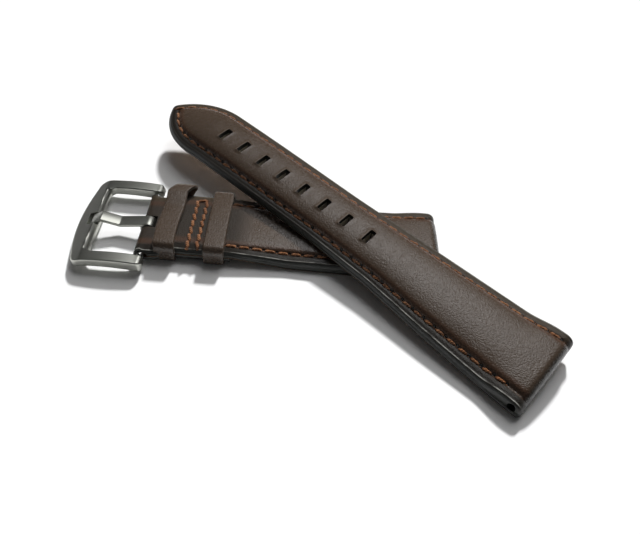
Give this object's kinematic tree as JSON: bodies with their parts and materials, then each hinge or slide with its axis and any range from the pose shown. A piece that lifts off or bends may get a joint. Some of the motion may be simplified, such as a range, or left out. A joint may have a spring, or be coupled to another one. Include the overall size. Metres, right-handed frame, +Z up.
{
  "type": "two-piece watch strap with pin buckle",
  "caption": "Padded leather watch strap in two halves, with contrast stitching, slotted buckle holes, two keepers and a pin buckle.",
  "frame": {"origin": "on the flat underside of the short half, under the point where the centre lines of the two halves cross", "axes": "+Z up from the table, -X along the short half towards its buckle, +Y towards the pointed end of the long half"},
  "size_m": [0.1162, 0.0879, 0.0126],
  "materials": {
    "top_leather": "satin waxed calf, dark grey-brown",
    "lining_leather": "matte brown lining leather",
    "thread": "waxed copper-brown thread",
    "padding": "felt board filler",
    "tape": "woven stiffening tape",
    "buckle_steel": "satin",
    "bar_steel": "turned"
  },
  "bodies": {
    "short_half": {"short_top_leather": "top_leather", "short_padding": "padding", "short_tape": "tape", "short_lining": "lining_leather", "short_stitching_near": "thread", "short_stitching_far": "thread", "box_stitching": "thread", "fixed_keeper": "top_leather", "bar_barrel": "bar_steel", "bar_spring": "bar_steel"},
    "long_half": {"long_top_leather": "top_leather", "long_padding": "padding", "long_tape": "tape", "long_lining": "lining_leather", "long_stitching": "thread"},
    "free_keeper": {"free_keeper": "top_leather"},
    "buckle_frame": {"buckle_frame": "buckle_steel"},
    "buckle_tongue": {"buckle_tongue": "buckle_steel"},
    "bar_pin_near": {"bar_pin_near": "bar_steel"},
    "bar_pin_far": {"bar_pin_far": "bar_steel"}
  },
  "joints": [
    {"name": "long_half_lift", "type": "slide", "parent": "short_half", "child": "long_half", "axis": [0, 0, 1], "range_m": [0, 0.03]},
    {"name": "free_keeper_slide", "type": "slide", "parent": "short_half", "child": "free_keeper", "axis": [-1, 0, 0], "range_m": [0, 0.0065]},
    {"name": "frame_hinge", "type": "hinge", "parent": "short_half", "child": "buckle_frame", "pos_m": [-0.0483, 0, 0.0025], "axis": [0, 1, 0], "range_deg": [0, 50]},
    {"name": "tongue_hinge", "type": "hinge", "parent": "buckle_frame", "child": "buckle_tongue", "pos_m": [-0.0483, 0, 0.0025], "axis": [0, 1, 0], "range_deg": [0, 45]},
    {"name": "pin_near_slide", "type": "slide", "parent": "short_half", "child": "bar_pin_near", "axis": [0, 1, 0], "range_m": [0, 0.0008], "stiffness_N_per_m": 200, "springref_m": -0.001, "deforming": ["bar_spring"]},
    {"name": "pin_far_slide", "type": "slide", "parent": "short_half", "child": "bar_pin_far", "axis": [0, -1, 0], "range_m": [0, 0.0008], "stiffness_N_per_m": 200, "springref_m": -0.001, "deforming": ["bar_spring"]}
  ]
}
